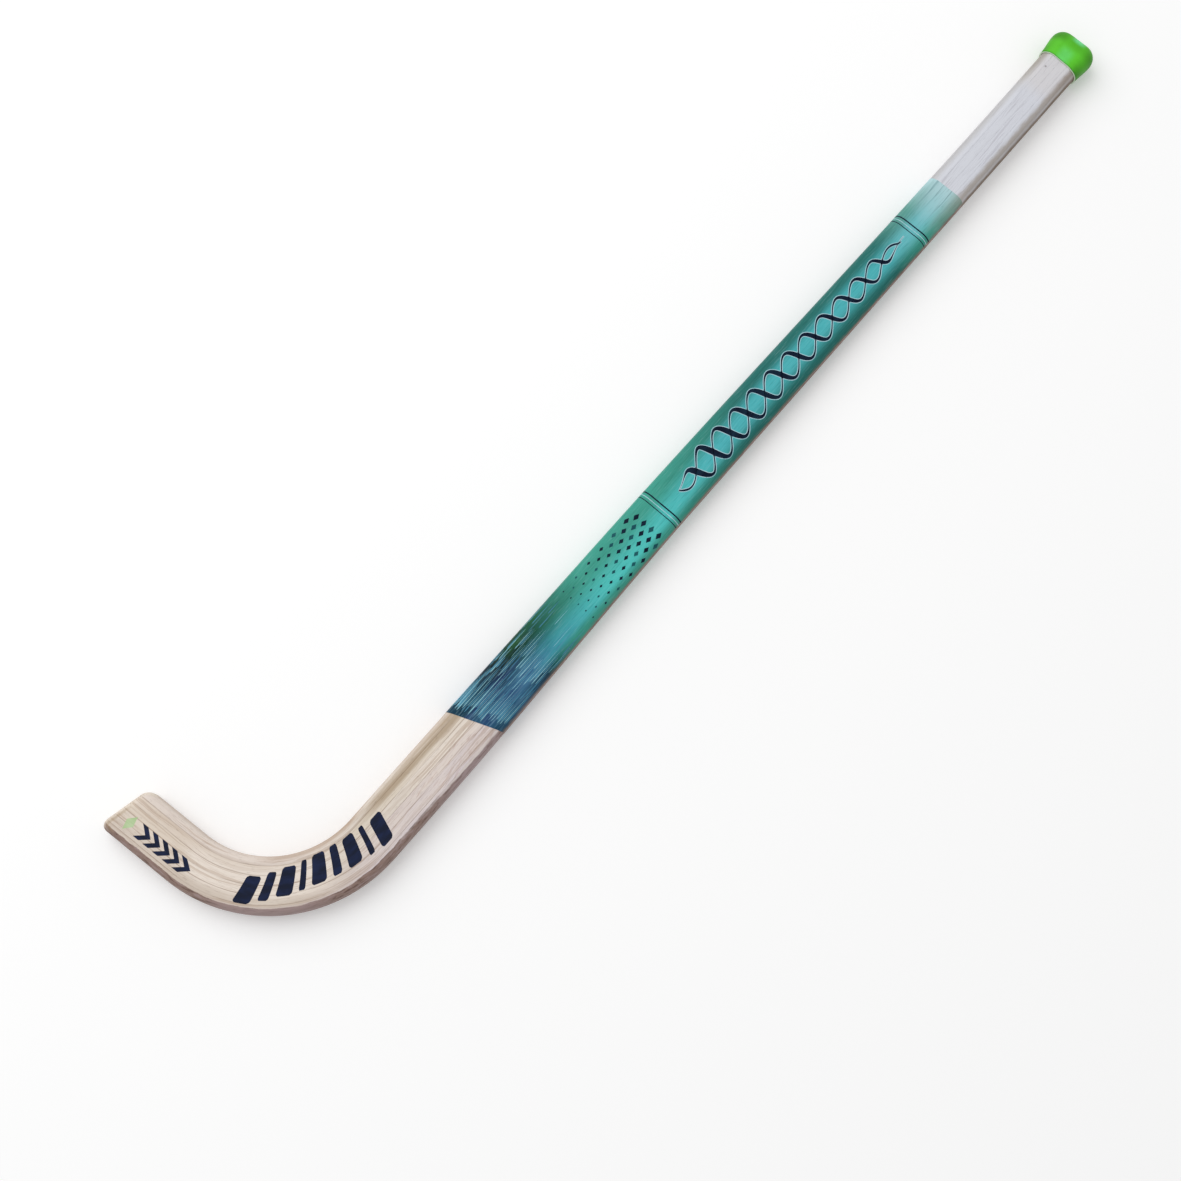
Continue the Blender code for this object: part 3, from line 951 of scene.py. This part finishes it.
def streak_path(s, t, length, half):
    """A straight path up the shaft that starts broad and tapers to a point."""
    path = []
    steps = max(6, math.ceil(length / STREAK_STEP))
    for step in range(steps + 1):
        share = step / steps
        taper = min(1.0, 9.0 * share + 0.15) * (1.0 - share) ** 0.7 + 0.05
        path.append((s + length * share, t, half * taper))
    return path


def streaks(face):
    """Lanes of tapered lines above the film's lower end: broad soft ones, then fine pale ones."""
    rng = random.Random(STREAK_SEED)
    slant = FILM_START_SLANT / (2 * HALF_WIDTH)
    first, last = STREAK_SIDES
    layers = []
    for layer, widest in enumerate(STREAK_HALVES, 1):
        strips = []
        for lane in range(STREAK_LANES):
            t = first + (last - first) * (lane + layer / 2) / STREAK_LANES
            s = FILM_START - slant * t + rng.uniform(*STREAK_START)
            top = FILM_START + STREAK_RISE * rng.uniform(*STREAK_TOP_SHARE)
            while s < top:
                up = (s - FILM_START) / STREAK_RISE
                length = rng.uniform(*STREAK_LENGTH) * (1.0 - 0.5 * up)
                half = widest * rng.uniform(*STREAK_WIDTH_SHARE) * (1.0 - 0.5 * up)
                strips.append(stroke(streak_path(s, t, length, half), FILM_OUTSIDE, layer, face))
                s += length + rng.uniform(*STREAK_GAP) * (1.0 + 1.5 * up)
        layers.append(strips)
    return layers


def diamond(s, t, half_s, half_t, lean, base, layer, face):
    """A rhomb whose first axis leans from the shaft's direction."""
    path = []
    steps = 2 * math.ceil(half_s / PRINT_STEP)
    for step in range(steps + 1):
        u = 2.0 * step / steps - 1.0
        half = half_t * max(1.0 - abs(u), 0.05)
        path.append((s + u * half_s * math.cos(lean), t + u * half_s * math.sin(lean), half))
    return stroke(path, base, layer, face)


def lattice(face):
    """Staggered rows of rhombs that grow evenly up the shaft, as (dark, faint)."""
    dark, faint = [], []
    for row in range(LATTICE_ROWS):
        s = LATTICE_START + row * LATTICE_GAP_S
        half = LATTICE_LEAST + (LATTICE_MOST - LATTICE_LEAST) * row / (LATTICE_ROWS - 1)
        for column in range(-3, 4):
            t = (column + 0.5 * (row % 2)) * LATTICE_GAP_T
            if abs(t) < LATTICE_REACH:
                mark = diamond(s, t, half, half * LATTICE_SHAPE, 0.0, FILM_OUTSIDE, 3, face)
                (faint if (row + 2 * column) % 3 == 0 else dark).append(mark)
    return dark, faint


def ring_line(middle, width, layer):
    """A thin ring round the film, from seam to seam."""
    rings = []
    for index in range(len(film_profile(middle, FILM_OUTSIDE))):
        ring = []
        for side, lift in ((-1, layer * PRINT_LAYER), (1, layer * PRINT_LAYER),
                           (1, -PRINT_SUNK), (-1, -PRINT_SUNK)):
            s = middle + side * width / 2
            v, z = film_profile(s, FILM_OUTSIDE + lift)[index]
            ring.append(spot(s, v, z))
        rings.append(ring)
    return rings


def faded_ends(share, rate, least):
    """1 along the middle of a path, and less by its two ends."""
    return min(1.0, rate * share + least, rate * (1 - share) + least)


def wave(phase, layer, face, grow=0.0):
    """A ribbon that swings to and fro along the shaft, broad one way and thin the other."""
    path = []
    steps = math.ceil((WAVE_STOP - WAVE_START) / WAVE_STEP)
    for step in range(steps + 1):
        share = step / steps
        s = WAVE_START + (WAVE_STOP - WAVE_START) * share
        turn = 2 * math.pi * (s - WAVE_START) / WAVE_LENGTH + phase
        taper = 1 - WAVE_TAPER * share
        swing = WAVE_HEIGHT * taper * faded_ends(share, 7, 0.15)
        press = (0.5 - 0.5 * math.cos(turn)) ** WAVE_PRESS
        half = (WAVE_THIN + (WAVE_THICK - WAVE_THIN) * press * taper) * faded_ends(share, 14, 0.1)
        path.append((s + WAVE_SWAY * math.sin(turn), swing * math.sin(turn), half + grow))
    return stroke(path, FILM_OUTSIDE, layer, face)


def bar_centre(s):
    """The v of the middle of the bars, which bow towards the bend's inner side."""
    share = (s - BARS_START) / BARS_LENGTH
    return BARS_SIDE + BARS_BOW * math.sin(math.pi * min(max(share, 0.0), 1.0))


def slanted_bar(s, half, face):
    """A bar across the blade with softened corners and a lean along the stick."""
    pairs = []
    centre = bar_centre(s)
    for step in range(BAR_STEPS + 1):
        u = -1.0 + 2.0 * step / BAR_STEPS
        shift = BAR_LEAN * u * BAR_REACH
        past = max(abs(u) - (1.0 - BAR_SOFT_END), 0.0) / BAR_SOFT_END
        soft = half * (1.0 - BAR_SOFTENING * past)
        t = centre + u * BAR_REACH
        pairs.append(((s + shift - soft, t), (s + shift + soft, t)))
    return strip(pairs, INK_BASE, 1, face)


def chevron(s, face):
    """A small arrowhead that points up the stick."""
    back = CHEVRON_REACH * CHEVRON_SLOPE
    corners = ((s - back, -CHEVRON_REACH), (s + back, 0.0), (s - back, CHEVRON_REACH))
    pairs = []
    for x, off in corners:
        t = MARKS_V + off
        pairs.append(((x - CHEVRON_HALF, t), (x + CHEVRON_HALF, t)))
    return strip(pairs, INK_BASE, 1, face)


def ink_material(name, tone, worn, wear, specular):
    """Ink in one tone that varies a little and wears towards another along the grain."""
    shade = Shade(name)
    cloud = shade.noise(14, 5, seed=2.0, detail=3)
    fibre = shade.noise(22, 0.6, seed=8.0, detail=3)
    tint = shade.coats(
        colour(*tone),
        (cloud.rise(0.35, 0.7) * 0.55, worn),
        (fibre.rise(0.62, 0.78) * wear, worn),
    )
    return shade.finish(tint, 0.36 + (fibre - 0.5) * 0.2, fibre, INK_BUMP, specular)


def build_print():
    pale, soft, navy, haze, outline = [], [], [], [], []
    for face in (1.0, -1.0):
        dim, bright = streaks(face)
        pale += bright
        soft += dim
        dark, faint = lattice(face)
        navy += dark
        haze += faint
        for phase in (0.0, math.pi):
            outline.append(wave(phase, 1, face, WAVE_OUTLINE))
            navy.append(wave(phase, 2, face))
    for middle in RING_PLACES:
        navy += [ring_line(middle + offset, width, 2) for offset, width in RING_LINES]
        offset, width = RING_PALE_LINE
        outline.append(ring_line(middle + offset, width, 1))
    for name, strips, ink in (
        ("print_dashes_pale", pale, PALE_INK),
        ("print_dashes_soft", soft, SOFT_INK),
        ("print_wave_outlines", outline, OUTLINE_INK),
        ("print_dark_marks", navy, NAVY_INK),
        ("print_faint_marks", haze, HAZE_INK),
    ):
        piece(name, strips, ink_material(*ink), "stick")


def build_ink():
    bars, chevrons, accents = [], [], []
    for face in (1.0, -1.0):
        s = BARS_START
        for half in BAR_HALVES:
            bars.append(slanted_bar(s + half, half, face))
            s += 2 * half + BAR_GAP
        for step in range(1, CHEVRON_COUNT + 1):
            chevrons.append(chevron(MARKS_START + step * MARKS_GAP, face))
        accent_s = MARKS_START - ACCENT_BACK
        accents.append(diamond(accent_s, MARKS_V, *ACCENT_HALVES, ACCENT_LEAN, INK_BASE, 1, face))
    ink = ink_material(*BLADE_INK)
    piece("blade_bars", bars, ink, "stick")
    piece("blade_chevrons", chevrons, ink, "stick")
    piece("blade_accents", accents, ink_material(*ACCENT_INK), "stick")


# End cap

CAP_GREEN = (96, 208, 46)
CAP_HIGHLIGHT_GREEN = (108, 224, 104)
CAP_HIGHLIGHT_MINT = (124, 236, 160)
CAP_SHADE_AND_MOTTLE_GREEN = (66, 148, 28)
CAP_LIP = (206, 224, 196)
CAP_RIM_SHADE_LINE = (44, 104, 36)
RIM_BOW = 0.0014
RIM_BOW_CENTRE = 0.0030
RIM_BOW_HALF = 0.0145
RIM_BOW_START = 0.006
RIM_BOW_LENGTH = 0.0165
CAP_WIDEST = CAP_CLEARANCE + CAP_SIDE_WALL - CAP_TRIM
CAP_END_INSET = 0.0094
CAP_END_STEPS = 4
CAP_DOME = 0.0004
CAP_CROWN_STEPS = 14
CAP_SWELL_STEPS = 44
CAP_GROOVE_PLACE = 0.0017
CAP_GROOVE_HALF = 0.0007
CAP_GROOVE_DEPTH = 0.00035
CAP_LIP_RADIUS = 0.0005
CAP_LIP_STEPS = 4
CAP_INSIDE_SHARES = (0.66, 0.33)
CAP_CENTRE_HIGHLIGHT_SPOT = (((-7, -15.5),), ((-9, -1), (9, 1)))
CAP_END_HIGHLIGHT_SPOT = (((-4, 0.5),), ((-10, -3), (6, -1)))
CAP_BUMP = 0.00006
CAP_SPECULAR = 0.18


def cap_material():
    """Green rubber with painted shade at its sides, crown and rim line, painted highlights in its middle
    and at its end, and a painted highlight on its lip.
    """
    shade = Shade("end_cap")
    # A cap's spots keep the rim's bow in place of an edge share; x is the place without the bow
    x = shade.s - shade.outer - SHAFT_LENGTH * MM
    cloud = shade.noise(9, 9, 9, seed=4.0, detail=3)
    specks = shade.noise(0.7, 0.7, 0.7, seed=7.0, detail=2)
    # Painted shade: darker towards both sides, the lower half, the rim's corners and the crown
    sides = shade.v.rise(9, 19) * 0.45 + shade.v.rise(-9, -20) * 0.60 + shade.z.rise(7, -6) * 0.5
    rim_shade = x.rise(-12, -21) * (shade.v.rise(12, 18) * 0.6 + shade.v.rise(-9, -16) * 0.5)
    crown_shade = x.rise(-12, -3.5) * (shade.v.rise(5, 11) * 0.45 + 0.35)
    tint = shade.coats(
        colour(*CAP_GREEN),
        # Painted highlight in the middle of the cap by the rim
        (shade.patch(*CAP_CENTRE_HIGHLIGHT_SPOT, s=x), CAP_HIGHLIGHT_GREEN),
        (sides + rim_shade + crown_shade, CAP_SHADE_AND_MOTTLE_GREEN),
        (cloud.rise(0.42, 0.66) * 0.12, CAP_SHADE_AND_MOTTLE_GREEN),
        # Painted highlight on the crown's upper edge at the end
        (shade.patch(*CAP_END_HIGHLIGHT_SPOT, s=x) * shade.z.rise(4, 10) * 0.85, CAP_HIGHLIGHT_MINT),
        (specks.rise(0.60, 0.75) * 0.15, CAP_SHADE_AND_MOTTLE_GREEN),
        # Painted shadow in a dark line above the rim, and a painted highlight in the pale line on the
        # lip
        (x.rise(-21.6, -22.6) * 0.6, CAP_RIM_SHADE_LINE),
        (x.rise(-22.8, -23.0), CAP_LIP),
    )
    return shade.finish(tint, 0.46 + (cloud - 0.5) * 0.15, specks, CAP_BUMP, CAP_SPECULAR)


def butt_loop(x, offset):
    """A loop of spots at x from the butt, offset from the wood's section there."""
    s = SHAFT_LENGTH + min(x, 0.0)
    radius = edge_radius(s)
    low, high = outer_edge(s) - offset, inner_edge(s) + offset
    half_z = HALF_THICKNESS + offset
    corner = max(radius + offset, min(CAP_LEAST_CORNER, half_z))
    centres = (
        (high - corner, half_z - corner),
        (low + corner, half_z - corner),
        (low + corner, corner - half_z),
        (high - corner, corner - half_z),
    )
    loop = []
    for turn, (centre_v, centre_z) in enumerate(centres):
        for step in range(CORNER_STEPS + 1):
            angle = math.pi / 2 * (turn + step / CORNER_STEPS)
            v = centre_v + corner * math.cos(angle)
            z = centre_z + corner * math.sin(angle)
            off_middle = min(abs(v - RIM_BOW_CENTRE) / RIM_BOW_HALF, 1.0)
            bow = RIM_BOW * (1.0 - off_middle ** 2) * ease(-x, RIM_BOW_START, RIM_BOW_LENGTH)
            loop.append(spot(SHAFT_LENGTH + x + bow, v, z, (bow * MM, 0.0, 0.0)))
    return loop


def cap_end():
    """(x, offset) pairs from near the middle of the cap's domed end over its crown."""
    end = CAP_CLEARANCE + CAP_END_WALL
    crown_offset = CAP_WIDEST - CAP_CROWN_RADIUS
    profile = []
    for step in range(CAP_END_STEPS):
        share = step / CAP_END_STEPS
        offset = -CAP_END_INSET + (crown_offset + CAP_END_INSET) * share
        profile.append((end - CAP_DOME * share * share, offset))
    for step in range(CAP_CROWN_STEPS + 1):
        angle = math.pi / 2 * step / CAP_CROWN_STEPS
        drop = (CAP_CROWN_RADIUS - CAP_DOME) * (1.0 - math.cos(angle))
        offset = CAP_WIDEST - CAP_CROWN_RADIUS * (1.0 - math.sin(angle))
        profile.append((end - CAP_DOME - drop, offset))
    return profile


def cap_side(crown_x):
    """(x, offset) pairs down the swollen side, through the groove and round the lip."""
    rim = CAP_CLEARANCE + CAP_RIM_WALL
    rim_x = CAP_CLEARANCE - CAP_DEPTH
    lip_x = rim_x + CAP_LIP_RADIUS
    groove_x = rim_x + CAP_GROOVE_PLACE
    profile = []
    for step in range(1, CAP_SWELL_STEPS + 1):
        t = step / CAP_SWELL_STEPS
        x = crown_x + (lip_x - crown_x) * t
        near = min(abs(x - groove_x) / CAP_GROOVE_HALF, 1.0)
        groove = CAP_GROOVE_DEPTH * (0.5 + 0.5 * math.cos(math.pi * near))
        profile.append((x, CAP_WIDEST + (rim - CAP_WIDEST) * ease(t, 0.0, 1.0) - groove))
    for step in range(1, CAP_LIP_STEPS + 1):
        angle = math.pi / 2 * step / CAP_LIP_STEPS
        offset = rim - CAP_LIP_RADIUS * (1.0 - math.cos(angle))
        profile.append((lip_x - CAP_LIP_RADIUS * math.sin(angle), offset))
    return profile


def cap_inside():
    """(x, offset) pairs from the rim to the bottom of the hollow."""
    rim = [(CAP_CLEARANCE - CAP_DEPTH, CAP_CLEARANCE)]
    wall = [(-CAP_DEPTH * share, CAP_CLEARANCE) for share in CAP_INSIDE_SHARES]
    return rim + wall + [(CAP_CLEARANCE, CAP_CLEARANCE)]


def build_cap():
    end = cap_end()
    profile = end + cap_side(end[-1][0]) + cap_inside()
    rings = [butt_loop(x, offset) for x, offset in profile]
    piece("end_cap_rubber", [rings], cap_material(), "cap", stands_for="end_cap", close=flat)


# Studio

FLOOR_HALF = 4.0
FLOOR_GREY = 0.90
FLOOR_LIFT = 0.20
FLOOR_FAR_LIFT = 0.42
FLOOR_NEAR = 0.7
FLOOR_FAR = 2.2
WORLD_LIGHT = 0.55
KEY_DISTANCE = 3.0
KEY_SIZE = 3.6
KEY_ELEVATION = math.radians(52)
KEY_LEVEL = 0.45
SENSOR_WIDTH = 36.0
LENS_LENGTH = 54.84
CAMERA_TILT = math.radians(12.049)
CAMERA_RIGHT = (0.6552, -0.7554)
CAMERA_PLACE = (0.0323, -0.1890, 1.3619)


def seen_directly(tree):
    """1 for camera, glossy and transmission rays, and 0 for the light that the scene sheds."""
    path = tree.nodes.new("ShaderNodeLightPath")
    rays = [Value(tree, path.outputs[f"Is {kind} Ray"]) for kind in ("Camera", "Glossy", "Transmission")]
    return rays[0].most(rays[1]).most(rays[2])


def off_middle(tree):
    """How far a point lies from its object's origin."""
    source = tree.nodes.new("ShaderNodeTexCoord")
    length = tree.nodes.new("ShaderNodeVectorMath")
    length.operation = "LENGTH"
    tree.links.new(source.outputs["Object"], length.inputs[0])
    return Value(tree, length.outputs["Value"])


def build_floor():
    material = bpy.data.materials.new("floor")
    material.use_nodes = True
    tree = material.node_tree
    shader = tree.nodes["Principled BSDF"]
    shader.inputs["Base Color"].default_value = (FLOOR_GREY, FLOOR_GREY, FLOOR_GREY, 1.0)
    shader.inputs["Roughness"].default_value = 0.9
    shader.inputs["Specular IOR Level"].default_value = 0.0
    shader.inputs["Emission Color"].default_value = (1.0, 1.0, 1.0, 1.0)
    lift = off_middle(tree).rise(FLOOR_NEAR, FLOOR_FAR) * FLOOR_FAR_LIFT + FLOOR_LIFT
    feed(tree, shader.inputs["Emission Strength"], seen_directly(tree) * lift)
    mesh = bpy.data.meshes.new("floor")
    corners = [(x * FLOOR_HALF, y * FLOOR_HALF, 0.0) for x, y in ((-1, -1), (1, -1), (1, 1), (-1, 1))]
    mesh.from_pydata(corners, [], [(0, 1, 2, 3)])
    mesh.materials.append(material)
    floor = bpy.data.objects.new("floor", mesh)
    bpy.context.scene.collection.objects.link(floor)


def build_world():
    world = bpy.data.worlds.new("studio")
    world.use_nodes = True
    tree = world.node_tree
    background = tree.nodes["Background"]
    background.inputs["Color"].default_value = (1.0, 1.0, 1.0, 1.0)
    strength = seen_directly(tree) * (1.0 - WORLD_LIGHT) + WORLD_LIGHT
    feed(tree, background.inputs["Strength"], strength)
    bpy.context.scene.world = world


def build_key():
    """One broad soft lamp from the hook's inner side, sized to light an upward face at KEY_LEVEL."""
    lamp = bpy.data.lights.new("key", "AREA")
    lamp.shape = "DISK"
    lamp.size = KEY_SIZE
    lamp.energy = KEY_LEVEL * math.pi ** 2 * KEY_DISTANCE ** 2 / math.sin(KEY_ELEVATION)
    towards = Vector((0.0, math.cos(KEY_ELEVATION), math.sin(KEY_ELEVATION)))
    obj = bpy.data.objects.new("key", lamp)
    obj.location = towards * KEY_DISTANCE
    obj.rotation_euler = towards.to_track_quat("Z", "Y").to_euler()
    bpy.context.scene.collection.objects.link(obj)


def build_camera():
    """The photograph's camera, which looks 12 degrees off the stick's face from below."""
    lens = bpy.data.cameras.new("camera")
    lens.sensor_width = SENSOR_WIDTH
    lens.lens = LENS_LENGTH
    x, y = CAMERA_RIGHT
    right = Vector((x, y, 0.0)).normalized()
    away = Vector((-y, x, 0.0)).normalized()
    up = away * math.cos(CAMERA_TILT) + Vector((0.0, 0.0, math.sin(CAMERA_TILT)))
    back = Vector((0.0, 0.0, math.cos(CAMERA_TILT))) - away * math.sin(CAMERA_TILT)
    pose = Matrix((right, up, back)).transposed().to_4x4()
    pose.translation = Vector(CAMERA_PLACE)
    camera = bpy.data.objects.new("camera", lens)
    bpy.context.scene.collection.objects.link(camera)
    camera.matrix_world = STICK @ pose
    bpy.context.scene.camera = camera


bpy.context.scene.view_settings.view_transform = "Standard"
build_wood()
build_film()
build_print()
build_ink()
build_cap()
build_floor()
build_world()
build_key()
build_camera()
